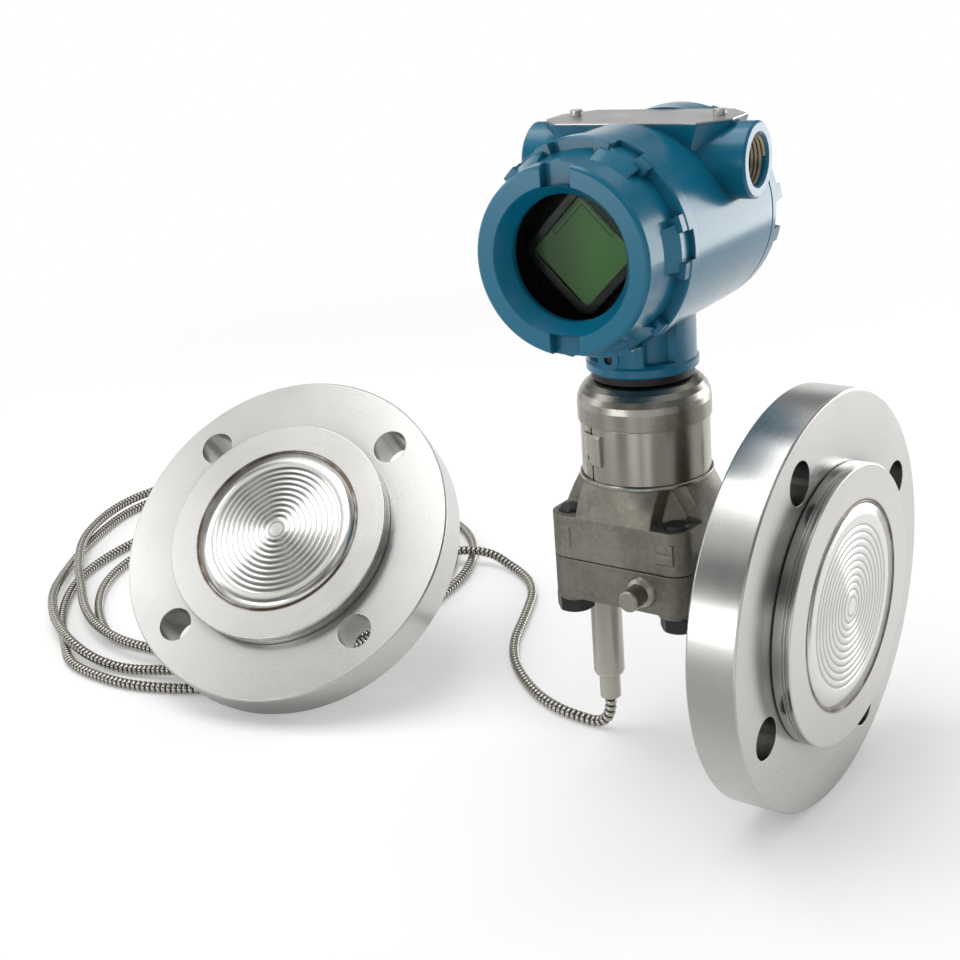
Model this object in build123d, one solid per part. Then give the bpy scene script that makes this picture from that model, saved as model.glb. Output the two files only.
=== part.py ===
from build123d import *
import os
from math import cos, degrees, pi, radians, sin, sqrt, tan

os.makedirs("parts", exist_ok=True)

# Differential-pressure level transmitter with two flanged diaphragm seals.
# The direct-mounted seal stands at the right, the remote seal leans at the left on its armoured capillary.
# The origin is the centre of the direct seal's gasket face. +X leaves that face, +Z is up, millimetres.

# Layout
transmitter_x = -101.1
housing_yaw = 4.8
housing_axis_z = 162.5
floor_z = -95.25
remote_face_centre = (-319.6, -26.7, -7.1)
remote_azimuth = 13.7
remote_elevation = 45.8
direct_hole_angle = 26.9
remote_hole_angle = 48.7

# Clearances
running_clearance = 0.05
spigot_clearance = 0.1
seat_gap = 0.3
bolt_clearance = 0.3

# Flanges and seals
flange_radius = 95.25
flange_thickness = 22.6
flange_edge = 0.8
bolt_circle_inset = 19.05
bolt_hole_radius = 9.525
bolt_hole_count = 4
spigot_radius = 22.0
face_radius = 63.5
face_height = 8.45
rim_groove_depth = 0.5
rim_groove_width = 0.6
rim_groove_heights = (-2.2, -3.6)
diaphragm_radius = 46.2
diaphragm_thickness = 0.9
diaphragm_step = 0.15
corrugation_count = 10
corrugation_depth = 0.45
corrugation_inner = 6.0
corrugation_outer = 38.0
weld_ring_radius = 47.3
weld_ring_dip = 0.2

# Backs of the seals
hub_radius = 25.5
hub_length = 6.5
neck_radius = 10.7
neck_bore = 3.0
support_radius = 7.66
support_shoulder = 2.4
support_bore = 1.6
support_length = 54.8
collar_radius = 5.2
collar_length = 13.0

# Capillary armour
armour_radius = 3.0
lead_route = [
    (-146, 0.3), (-160, 2.2), (-177, 8.6), (-194, 20), (-210, 34), (-222, 49), (-231, 65), (-238, 82),
    (-246, 100), (-254, 117), (-265, 131), (-278, 141), (-291, 146.5), (-304, 149), (-316, 148), (-328, 143),
    (-335.5, 137.8),
]
tail_step = 22.5
tail_steps = 5
tail_turn = 6.0
coil_height = 13.5
coil_round = 5.0
coil_flange_gap = 1.5
coil_centre = (-458.0, 71.0)
coil_radii = (172.0, 142.0)
coil_turn = 135.0
coil_hole_centre = (-427.0, 62.0)
coil_hole_radii = (104.0, 100.0)

# Sensor module
block_width = 72.0
block_depth = 66.0
block_corner = 9.0
block_bottom = -7.2
block_top = 13.4
split_gap = 0.6
ear_top = 34.0
casting_top = 50.0
casting_neck_radius = 30.6
pocket_x = 19.5
pocket_y = 13.5
gusset_reach = 9.0
gusset_drop = 1.5
bolt_inset_x = 8.0
bolt_inset_y = 9.5
bolt_radius = 5.55
bolt_head_flats = 15.9
bolt_head_height = 7.0
bolt_proud = 1.6
bolt_pad_radius = 9.8
bolt_pad_height = 1.4
port_inset = 9.0
port_radius = 8.5
port_groove_depth = 1.6
boss_radius = 12.5
boss_length = 5.0
stub_x = 13.8
stub_z = 3.1
stub_radius = 5.1
stub_length = 12.5
stub_bead_radius = 7.7
stub_bead_height = 2.6
emboss_height = 0.5
mark_inset = 10.2
mark_height = 10.0
mark_bar = 1.2
left_mark_width = 5.5
right_mark_width = 8.4
neck_bore_depth = 14.0
can_radius = 29.0
can_wall = 2.5
can_rise = 4.0
band_thickness = 0.7
band_bottom = 51.6
lip_radius = 30.9
band_seam_angle = 246.0
band_seam_width = 1.2
clasp_angle = 247.0
clasp_width = 12.0
clasp_height = 14.5
clasp_thickness = 1.6
clasp_z = 66.5
cap_lip_z = 77.4
cap_radius = 30.6
cap_top_z = 96.4
cap_crown_radius = 11.5
cap_wall = 1.4
spigot_top_z = 118.0
neck_spigot_radius = 17.9
neck_spigot_bore = 13.0
gasket_radius = 23.4
cell_radius = 20.0

# Housing
collar_bottom_z = 100.0
collar_top_z = 105.6
collar_outer = 25.5
neck_outer = 24.6
neck_core = 21.0
neck_rib_width = 22.0
neck_bore_top = 120.0
cable_hole_radius = 5.0
cable_hole_y = -12.5
front_joint = 38.6
rear_joint = 42.0
barrel_front_radius = 45.2
barrel_rear_radius = 46.4
cover_bore = 38.0
thread_length = 17.0
cavity_radius = 36.4
partition_y = -6.0
partition_thickness = 5.0
conduit_z = 190.0
pad_above_conduit = 17.2
pad_root_drop = 14.0
pad_z = conduit_z + pad_above_conduit
pad_half_length = 44.6
pad_front_y = -9.5
pad_rear_y = 33.0
pad_corner_x = 11.0
pad_corner_y = 13.0
pad_root_z = conduit_z - pad_root_drop
pad_root_half_length = 33.0
conduit_y = 10.0
conduit_half_length = 52.9
conduit_boss_radius = 16.2
conduit_root_radius = 16.9
conduit_bores = (10.6, 10.3)
conduit_bore_start = 10.0
conduit_thread_start = 34.0
conduit_shoulder = 0.9
conduit_chamfer = 1.1
plate_thickness = 0.8
plate_inset = 0.6
plate_screw_spacing = 68.4
plate_screw_y = 14.0
plate_screw_radius = 1.5
plate_screw_head = 2.9
plate_screw_head_height = 2.6
lock_boss_x = -4.5
lock_boss_z = 108.5
lock_boss_radius = 5.0
lock_boss_front = -25.0
lock_screw_radius = 2.0

# Covers
cover_flange_radius = 46.4
cover_flange_height = 8.4
cover_wall_foot = 41.4
cover_face_radius = 38.5
cover_ring_inner = 31.0
front_cover_height = 33.3
rear_cover_height = 19.0
cover_edge = 1.8
window_radius = 26.3
window_setback = 7.9
window_ledge = 3.0
glass_radius = 33.0
glass_thickness = 6.0
skirt_length = 13.0
skirt_bore = 34.0
slot_width = 13.5
slot_depth = 4.6
lug_groups = 6
lug_phase = 4.0
lug_pad_width = 25.0
lug_pad_reach = 45.6
lug_pad_height = 13.0
lug_notch_radius = 44.1
lug_notch_width = 15.0
lug_notch_depth = 4.2
lug_bump_angle = 12.2
lug_bump_width = 8.4
lug_bump_reach = 46.0
lug_bump_height = 4.4
cover_ring_section = 1.0

# Inside the housing
display_base_radius = 31.5
display_base_height = 3.0
display_base_y = -41.0
bezel_side = 41.0
bezel_height = 7.5
bezel_corner = 6.0
screen_side = 33.5
screen_thickness = 1.2
board_radius = 32.0
board_thickness = 1.6
board_y = -28.0
board_window = 10.0
chip_angles = (135.0, 225.0, 315.0)
chip_circle_radius = 16.5
chip_width = 11.0
chip_depth = 8.0
chip_height = 2.2
post_circle_radius = 27.5
post_radius = 2.4
spacer_radius = 2.0
terminal_width = 46.0
terminal_height = 24.0
terminal_depth = 13.0
terminal_count = 3
terminal_pitch = 13.0
terminal_screw_radius = 3.4
terminal_screw_height = 2.4

# Part frames
here = Plane(origin=(transmitter_x, 0, 0))
yaw = radians(housing_yaw)
head = Plane(origin=(transmitter_x, 0, 0), x_dir=(cos(yaw), sin(yaw), 0), z_dir=(0, 0, 1))
direct = Plane(origin=(0, 0, 0), x_dir=(0, -1, 0), z_dir=(1, 0, 0))
azimuth = radians(remote_azimuth)
elevation = radians(remote_elevation)
remote_normal = (sin(azimuth) * cos(elevation), -cos(azimuth) * cos(elevation), sin(elevation))
remote = Plane(origin=remote_face_centre, x_dir=(-cos(azimuth), -sin(azimuth), 0), z_dir=remote_normal)
barrel = Plane(origin=(0, 0, housing_axis_z), x_dir=(-1, 0, 0), z_dir=(0, 1, 0))
front = Plane(origin=(0, -front_joint, housing_axis_z), x_dir=(1, 0, 0), z_dir=(0, -1, 0))
rear = Plane(origin=(0, rear_joint, housing_axis_z), x_dir=(-1, 0, 0), z_dir=(0, 1, 0))


def turned(profile):
    """Solid turned about Z from a closed outline of (radius, height) points."""
    return revolve(Plane.XZ * make_face(Polyline(*profile, close=True)), Axis.Z, 360)


def rod(radius, low, high):
    return Pos(0, 0, low) * Cylinder(radius, high - low, align=(Align.CENTER, Align.CENTER, Align.MIN))


def ring(outer, inner, low, high):
    return turned([(inner, low), (outer, low), (outer, high), (inner, high)])


def slab(width, depth, low, high):
    return Pos(0, 0, low) * Box(width, depth, high - low, align=(Align.CENTER, Align.CENTER, Align.MIN))


def rounded_slab(width, depth, corner, low, high):
    return Pos(0, 0, low) * extrude(RectangleRounded(width, depth, corner), high - low)


def polar(radius, angle):
    return (radius * cos(radians(angle)), radius * sin(radians(angle)))


def sector(inner, outer, middle, spread, low, high):
    """Piece of a ring, spread degrees wide about the middle angle."""
    start = middle - spread / 2
    end = middle + spread / 2
    outline = [
        ThreePointArc(polar(inner, start), polar(inner, middle), polar(inner, end)),
        Line(polar(inner, end), polar(outer, end)),
        ThreePointArc(polar(outer, end), polar(outer, middle), polar(outer, start)),
        Line(polar(outer, start), polar(inner, start)),
    ]
    return Pos(0, 0, low) * extrude(make_face(outline), high - low)


def torus(middle_radius, section):
    return Torus(middle_radius, section)


def save(solid, plane, name):
    placed = plane.location * solid
    placed.label = name
    export_step(placed, "parts/" + name + ".step")
    return placed


# Flange: a plain backing ring that turns freely on the spigot of its seal
def backing_flange(hole_angle):
    low = -face_height - running_clearance - flange_thickness
    high = -face_height - running_clearance
    blank = turned([
        (spigot_radius + spigot_clearance, low),
        (flange_radius - flange_edge, low),
        (flange_radius, low + flange_edge),
        (flange_radius, high - flange_edge),
        (flange_radius - flange_edge, high),
        (spigot_radius + spigot_clearance, high),
    ])
    hole = rod(bolt_hole_radius, low - 1, high + 1)
    hole = Rot(0, 0, hole_angle) * Pos(flange_radius - bolt_circle_inset, 0, 0) * hole
    for index in range(bolt_hole_count):
        blank -= Rot(0, 0, index * 360 / bolt_hole_count) * hole
    return blank


# Seal body: the raised gasket face with its spigot through the flange
spigot_end = -face_height - 2 * running_clearance - flange_thickness - seat_gap
oil_gap = 0.3


def seal_body():
    groove_low = -rim_groove_width / 2
    groove_high = rim_groove_width / 2
    profile = [(neck_bore, spigot_end), (spigot_radius, spigot_end), (spigot_radius, -face_height)]
    profile += [(face_radius - 0.6, -face_height), (face_radius, -face_height + 0.6)]
    for height in sorted(rim_groove_heights):
        profile += [
            (face_radius, height + groove_low),
            (face_radius - rim_groove_depth, height + groove_low),
            (face_radius - rim_groove_depth, height + groove_high),
            (face_radius, height + groove_high),
        ]
    profile += [(face_radius, -0.5), (face_radius - 0.5, 0), (weld_ring_radius, 0)]
    profile += [(weld_ring_radius, -diaphragm_thickness), (diaphragm_radius - 3, -diaphragm_thickness)]
    profile += [(diaphragm_radius - 3, -diaphragm_thickness - oil_gap), (neck_bore, -diaphragm_thickness - oil_gap)]
    return turned(profile)


# Diaphragm: thin disc with concentric corrugations, and its weld ring
def diaphragm():
    edge = diaphragm_radius - seat_gap
    step = (corrugation_outer - corrugation_inner) / corrugation_count
    profile = [(0, -diaphragm_thickness), (edge, -diaphragm_thickness), (edge, -diaphragm_step)]
    profile += [(corrugation_outer + step / 2, -diaphragm_step)]
    for index in range(corrugation_count):
        crest = corrugation_outer - index * step
        profile += [(crest, 0), (crest - step / 2, -corrugation_depth)]
    profile += [(corrugation_inner, 0), (0, 0)]
    return turned(profile)


def weld_ring():
    inner = diaphragm_radius - seat_gap
    return turned([
        (inner, -diaphragm_thickness),
        (weld_ring_radius, -diaphragm_thickness),
        (weld_ring_radius, -weld_ring_dip),
        ((inner + weld_ring_radius) / 2, 0),
        (inner, -weld_ring_dip),
    ])


# Support tube: hub or plain end, thin tube with a rounded shoulder down to the capillary collar
def support_tube(start, end):
    return [
        (support_bore, start),
        (support_radius, start),
        (support_radius, end + support_shoulder),
        (support_radius - 0.7, end + 0.7),
        (collar_radius, end),
        (support_bore, end),
    ]


def capillary_collar(end):
    return turned([
        (support_bore, end),
        (collar_radius, end),
        (collar_radius, end - collar_length + 0.6),
        (collar_radius - 0.6, end - collar_length),
        (support_bore, end - collar_length),
    ])


hub_end = spigot_end - hub_length
neck_end = transmitter_x + block_width / 2 + boss_length
save(seal_body(), direct, "direct_seal_body")
save(diaphragm(), direct, "direct_diaphragm")
save(weld_ring(), direct, "direct_weld_ring")
save(backing_flange(direct_hole_angle), direct, "direct_flange")
direct_neck = turned([
    (neck_bore, spigot_end),
    (hub_radius, spigot_end),
    (hub_radius, hub_end + 2),
    (neck_radius + 2, hub_end),
    (neck_radius, hub_end - 2),
    (neck_radius, neck_end),
    (neck_bore, neck_end),
])
save(direct_neck, direct, "direct_neck")

support_start = hub_end
support_end = support_start - support_length
remote_tube = support_tube(support_start, support_end)
remote_tube[0:2] = [(support_bore, spigot_end), (hub_radius, spigot_end), (hub_radius, hub_end), (support_radius, hub_end)]
save(seal_body(), remote, "remote_seal_body")
save(diaphragm(), remote, "remote_diaphragm")
save(weld_ring(), remote, "remote_weld_ring")
save(backing_flange(remote_hole_angle), remote, "remote_flange")
save(turned(remote_tube), remote, "remote_support_tube")
save(capillary_collar(support_end), remote, "remote_collar")

# Process block: the lower casting, with bolt pads, ports and a side boss for the direct neck
bolt_x = block_width / 2 - bolt_inset_x
bolt_y = block_depth / 2 - bolt_inset_y
corners = [(sx * bolt_x, sy * bolt_y) for sx in (-1, 1) for sy in (-1, 1)]
port_places = [port_inset - block_width / 2, block_width / 2 - port_inset]
low_port = Plane(origin=(port_places[0] + 0.6, 0, 0))
side = Plane(origin=(block_width / 2, 0, 0), x_dir=(0, -1, 0), z_dir=(1, 0, 0))
front_wall = Plane(origin=(stub_x, -block_depth / 2, stub_z), x_dir=(1, 0, 0), z_dir=(0, -1, 0))
pad_bottom = block_bottom - bolt_pad_height
pin_bore = 1.2

block = rounded_slab(block_width, block_depth, block_corner, block_bottom, block_top - split_gap)
block = fillet(block.faces().sort_by(Axis.Z)[0].edges(), 1.2)
pad_limit = rounded_slab(block_width - 0.6, block_depth - 0.6, block_corner, pad_bottom, block_bottom + 2)
for x, y in corners:
    block += Pos(x, y, 0) * rod(bolt_pad_radius, pad_bottom, block_bottom + 2) & pad_limit
block += side.location * rod(boss_radius, -block_width / 6, boss_length)
for x, y in corners:
    block -= Pos(x, y, 0) * rod(bolt_radius + bolt_clearance, pad_bottom - 1, block_top + 1)
ring_section = (port_groove_depth + split_gap) / 2 - running_clearance
groove_half = ring_section + seat_gap
groove_floor = block_top - split_gap - port_groove_depth
for x in port_places:
    block -= Pos(x, 0, 0) * ring(port_radius + groove_half, port_radius - groove_half, groove_floor, block_top + 1)
    block -= Pos(x, 0, 0) * rod(pin_bore, block_bottom + 5, block_top + 1)
block -= low_port.location * rod(support_bore, block_bottom - 1, block_bottom + 6)
block -= side.location * rod(neck_bore, boss_length - neck_bore_depth, boss_length + 1)
save(block, here, "process_block")

# Process rings: one seal ring at each port
ring_level = groove_floor + running_clearance + ring_section
rings = [Pos(x, 0, ring_level) * torus(port_radius, ring_section) for x in port_places]
save(Compound(children=rings), here, "process_rings")

# Sensor casting: square foot with four bolt ears, drawn up to the round module
foot = rounded_slab(block_width, block_depth, block_corner, block_top, ear_top)
shoulder = loft([
    Pos(0, 0, ear_top) * RectangleRounded(block_width, block_depth, block_corner),
    Pos(0, 0, casting_top) * Circle(casting_neck_radius),
])
casting = foot + shoulder
for sx in (-1, 1):
    for sy in (-1, 1):
        pocket_width = block_width / 2 - pocket_x + 1
        pocket_depth = block_depth / 2 - pocket_y + 1
        pocket = Pos(sx * (pocket_x + pocket_width / 2), sy * (pocket_y + pocket_depth / 2), 0)
        pocket = pocket * slab(pocket_width, pocket_depth, ear_top, casting_top + 1)
        # The gusset is a corner pyramid that stays in the pocket
        inner = (sx * (pocket_x - 0.5), sy * (pocket_y - 0.5))
        base = Polyline(
            (inner[0], inner[1]),
            (sx * (pocket_x + gusset_reach), inner[1]),
            (inner[0], sy * (pocket_y + gusset_reach)),
            close=True,
        )
        tip = Polyline(
            (inner[0], inner[1]),
            (sx * (pocket_x - 0.1), inner[1]),
            (inner[0], sy * (pocket_y - 0.1)),
            close=True,
        )
        gusset = loft([
            Pos(0, 0, ear_top) * make_face(base),
            Pos(0, 0, casting_top - gusset_drop) * make_face(tip),
        ])
        casting -= pocket - gusset
for x, y in corners:
    casting -= Pos(x, y, 0) * rod(bolt_radius + running_clearance, block_top - 1, casting_top)
for x in port_places:
    casting -= Pos(x, 0, 0) * rod(pin_bore, block_top - 1, casting_top - 12)
casting -= rod(cell_radius + seat_gap, casting_top - 14, casting_top + 1)
mark_z = (block_top + ear_top) / 2
left_mark_x = mark_inset - block_width / 2
right_mark_x = block_width / 2 - mark_inset + 1
left_mark = Pos(left_mark_x, -block_depth / 2, mark_z) * Box(left_mark_width, 2 * emboss_height, mark_height)
right_mark = Pos(right_mark_x, -block_depth / 2, mark_z) * Box(right_mark_width, 2 * emboss_height, mark_height)
right_mark -= Pos(right_mark_x, -block_depth / 2 - emboss_height, mark_z) * Box(
    right_mark_width, emboss_height, mark_bar)
casting += left_mark
casting += right_mark
save(casting, here, "sensor_casting")

# Bolts: hex heads below the block, threaded ends through the ears
head_low = pad_bottom - bolt_head_height
head_bevel = 0.8
hex_circle = bolt_head_flats / sqrt(3)
hex_head = Pos(0, 0, head_low) * extrude(RegularPolygon(hex_circle, 6, rotation=15), bolt_head_height)
bevel = turned([
    (0, head_low),
    (bolt_head_flats / 2, head_low),
    (hex_circle + 0.1, head_low + head_bevel),
    (hex_circle + 0.1, pad_bottom),
    (0, pad_bottom),
])
bolt_top = ear_top + bolt_proud
shank = turned([
    (0, pad_bottom),
    (bolt_radius, pad_bottom),
    (bolt_radius, bolt_top - 1),
    (bolt_radius - 1, bolt_top),
    (0, bolt_top),
])
bolt = (hex_head & bevel) + shank
save(Compound(children=[Pos(x, y, 0) * bolt for x, y in corners]), here, "block_bolts")

# Fill stub: welded pin on the front of the block, with its weld bead
stub = turned([
    (0, 0),
    (stub_bead_radius, 0),
    (stub_bead_radius - 0.8, 1.4),
    (stub_radius, stub_bead_height),
    (stub_radius, stub_length - 0.8),
    (stub_radius - 0.8, stub_length),
    (0, stub_length),
])
save(stub, Plane(here.location * front_wall.location), "fill_stub")

# Low-pressure support tube below the block, with its capillary collar
low_side = Plane(here.location * low_port.location)
low_end = block_bottom - support_length
save(turned(support_tube(block_bottom, low_end)), low_side, "low_side_tube")
save(capillary_collar(low_end), low_side, "low_side_collar")

# Sensor cell and its board inside the module
cell_low = casting_top - 14
cell = turned([
    (0, cell_low + 0.1),
    (cell_radius, cell_low + 0.1),
    (cell_radius, cell_low + 12),
    (cell_radius - 6, cell_low + 18),
    (0, cell_low + 18),
])
save(cell, here, "sensor_cell")
board_low = cell_low + 18
neck_low = cap_lip_z + can_rise + running_clearance
module_board = slab(26, 1.6, board_low, neck_low) + slab(18, 6, board_low + 6, board_low + 14)
save(module_board, here, "module_board")

# Module can with its lip ring
can = turned([
    (cell_radius + seat_gap, casting_top),
    (lip_radius, casting_top),
    (lip_radius, band_bottom - 0.4),
    (lip_radius - 0.5, band_bottom),
    (can_radius, band_bottom),
    (can_radius, cap_lip_z + can_rise),
    (can_radius - can_wall, cap_lip_z + can_rise),
    (can_radius - can_wall, casting_top + 3),
    (cell_radius + seat_gap, casting_top + 3),
])
save(can, here, "module_can")

# Label band: thin sheet round the can, open at its seam
band_top = cap_lip_z - 0.3
band = ring(can_radius + running_clearance + band_thickness, can_radius + running_clearance, band_bottom, band_top)
seam = Rot(0, 0, band_seam_angle) * Pos(can_radius, 0, (band_bottom + band_top) / 2)
band -= seam * Box(8, band_seam_width, band_top - band_bottom + 2)
save(band, here, "label_band")

# Clasp over the seam, with a hole and a raised loop
band_outer = can_radius + running_clearance + band_thickness
clasp = sector(
    band_outer,
    band_outer + clasp_thickness / 2,
    clasp_angle,
    degrees(clasp_width / band_outer),
    clasp_z - clasp_height / 2,
    clasp_z + clasp_height / 2,
)
loop_angle = clasp_angle + degrees(clasp_width / band_outer) / 2 - 2.5
clasp += sector(band_outer, band_outer + clasp_thickness, loop_angle, 5.5, clasp_z - 6.5, clasp_z + 6.5)
clasp -= sector(band_outer + 0.5, band_outer + clasp_thickness - 0.4, loop_angle, 3.0, clasp_z - 5.5, clasp_z + 5.5)
tab_hole = Rot(0, 0, clasp_angle - 5) * Pos(band_outer, 0, clasp_z - 4.5) * Rot(0, 90, 0)
clasp -= tab_hole * Cylinder(0.9, 6)
save(clasp, here, "band_clasp")

# Cap over the module: drawn stainless dome
crown = cap_top_z - cap_crown_radius


def crown_arc(radius, start_angle, end_angle, centre_radius):
    points = []
    for index in range(7):
        angle = radians(start_angle + (end_angle - start_angle) * index / 6)
        points.append((centre_radius + radius * cos(angle), crown + radius * sin(angle)))
    return points


cap_centre = cap_radius - cap_crown_radius
cap = [(can_radius + 0.3, cap_lip_z), (cap_radius, cap_lip_z)]
cap += crown_arc(cap_crown_radius, 0, 90, cap_centre)
cap += [(neck_spigot_radius + 0.1, cap_top_z), (neck_spigot_radius + 0.1, cap_top_z - cap_wall)]
cap += crown_arc(cap_crown_radius - cap_wall, 90, 0, cap_centre)[:-1]
cap += [(can_radius + 0.3, crown)]
save(turned(cap), here, "module_cap")

# Threaded neck of the module, on which the housing turns
neck = turned([
    (neck_spigot_bore, neck_low),
    (can_radius - 1, neck_low),
    (can_radius - 1, neck_low + 2),
    (neck_spigot_radius, neck_low + 2),
    (neck_spigot_radius, spigot_top_z - 1),
    (neck_spigot_radius - 1, spigot_top_z),
    (neck_spigot_bore, spigot_top_z),
])
save(neck, here, "module_neck")
weather_ring = ring(gasket_radius, neck_spigot_radius + 0.1, cap_top_z + 0.05, collar_bottom_z - running_clearance)
save(weather_ring, here, "neck_gasket")
connector = rod(8, neck_low + running_clearance, spigot_top_z + 1)
connector += rod(neck_spigot_bore - seat_gap, spigot_top_z - 6, spigot_top_z - 2)
save(connector, here, "sensor_connector")

# Housing: one casting with barrel, neck, nameplate pad and two conduit bosses
body = barrel.location * turned([
    (0, -front_joint),
    (barrel_front_radius - 0.6, -front_joint),
    (barrel_front_radius, -front_joint + 0.6),
    (barrel_rear_radius, rear_joint - 0.6),
    (barrel_rear_radius - 0.6, rear_joint),
    (0, rear_joint),
])
neck_column = rod(neck_core, collar_top_z - 1, housing_axis_z)
ribs = slab(2 * neck_outer, neck_rib_width, collar_top_z - 1, housing_axis_z)
ribs += slab(neck_rib_width, 2 * neck_outer, collar_top_z - 1, housing_axis_z) & rod(neck_outer, 0, 300)
ribs = ribs & rod(neck_outer, 0, 300)
body += neck_column + ribs
body += turned([
    (0, collar_bottom_z),
    (collar_outer - 0.8, collar_bottom_z),
    (collar_outer, collar_bottom_z + 0.8),
    (collar_outer, collar_top_z - 1.5),
    (collar_outer - 1.5, collar_top_z),
    (0, collar_top_z + 1.5),
])


def pad_outline(half_length, front_edge, rear_edge, corner_x, corner_y):
    return make_face(Polyline(
        (-half_length + corner_x, front_edge),
        (half_length - corner_x, front_edge),
        (half_length, front_edge + corner_y),
        (half_length, rear_edge - corner_y),
        (half_length - corner_x, rear_edge),
        (-half_length + corner_x, rear_edge),
        (-half_length, rear_edge - corner_y),
        (-half_length, front_edge + corner_y),
        close=True,
    ))


pad_top = pad_outline(pad_half_length, pad_front_y, pad_rear_y, pad_corner_x, pad_corner_y)
pad_root = pad_outline(pad_root_half_length, pad_front_y + 4, pad_rear_y - 4, pad_corner_x, pad_corner_y)
body += loft([Pos(0, 0, pad_root_z) * pad_root, Pos(0, 0, pad_z) * pad_top])
conduit_axis = Plane(origin=(0, conduit_y, conduit_z), x_dir=(0, -1, 0), z_dir=(1, 0, 0))
for direction in (0, 180):
    boss = turned([
        (0, 0),
        (conduit_root_radius, 0),
        (conduit_root_radius, conduit_half_length - 22),
        (conduit_boss_radius, conduit_half_length - 12),
        (conduit_boss_radius, conduit_half_length - 1),
        (conduit_boss_radius - 1, conduit_half_length),
        (0, conduit_half_length),
    ])
    body += conduit_axis.location * Rot(direction, 0, 0) * boss
body -= Pos(0, (pad_front_y + pad_rear_y) / 2, 0) * slab(
    2 * pad_half_length - 2 * pad_corner_x, pad_rear_y - pad_front_y, pad_z, pad_z + 10)
lock_boss = Plane(origin=(lock_boss_x, lock_boss_front, lock_boss_z), x_dir=(1, 0, 0), z_dir=(0, 1, 0))
body += lock_boss.location * rod(lock_boss_radius, 0, 8)
body -= lock_boss.location * rod(lock_screw_radius + running_clearance, -1, -lock_boss_front - neck_spigot_radius)

# Housing bores: two cover threads, two compartments with a partition, neck and conduit entries
body -= barrel.location * rod(cover_bore, -front_joint - 1, -front_joint + thread_length)
body -= barrel.location * rod(cavity_radius, -front_joint, partition_y)
body -= barrel.location * rod(cavity_radius, partition_y + partition_thickness, rear_joint)
body -= barrel.location * rod(cover_bore, rear_joint - thread_length, rear_joint + 1)
body -= rod(neck_spigot_radius + running_clearance, collar_bottom_z - 1, neck_bore_top)
body -= Pos(0, cable_hole_y, 0) * rod(cable_hole_radius, neck_bore_top - 1, housing_axis_z - cavity_radius + 5)
for direction, bore in zip((0, 180), conduit_bores):
    entry = turned([
        (0, conduit_bore_start),
        (bore - conduit_shoulder, conduit_bore_start),
        (bore - conduit_shoulder, conduit_thread_start),
        (bore, conduit_thread_start),
        (bore, conduit_half_length - conduit_chamfer),
        (bore + conduit_chamfer, conduit_half_length),
        (bore + conduit_chamfer, conduit_half_length + 1),
        (0, conduit_half_length + 1),
    ])
    body -= conduit_axis.location * Rot(direction, 0, 0) * entry
screw_places = [(-plate_screw_spacing / 2, plate_screw_y), (plate_screw_spacing / 2, plate_screw_y)]
for x, y in screw_places:
    body -= Pos(x, y, 0) * rod(plate_screw_radius + running_clearance, pad_z - 4, pad_z + 1)
save(body, head, "housing")

# Nameplate and its two slotted screws
plate_low = pad_z
plate_high = plate_low + plate_thickness
plate = Pos(0, 0, plate_low) * extrude(pad_outline(
    pad_half_length - plate_inset,
    pad_front_y + plate_inset,
    pad_rear_y - plate_inset,
    pad_corner_x,
    pad_corner_y), plate_thickness)
for x, y in screw_places:
    plate -= Pos(x, y, 0) * rod(plate_screw_radius + bolt_clearance, plate_low - 1, plate_high + 1)
save(plate, head, "nameplate")
plate_screw = rod(plate_screw_radius, plate_low - 3.8, plate_high) + rod(
    plate_screw_head, plate_high, plate_high + plate_screw_head_height)
plate_screw -= Pos(0, 0, plate_high + plate_screw_head_height) * Box(8, 0.8, 2.4)
save(Compound(children=[Pos(x, y, 0) * plate_screw for x, y in screw_places]), head, "nameplate_screws")
lock_screw = rod(lock_screw_radius, 1.5, -lock_boss_front - neck_spigot_radius - 0.2)
save(lock_screw, Plane(head.location * lock_boss.location), "lock_screw")


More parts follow.
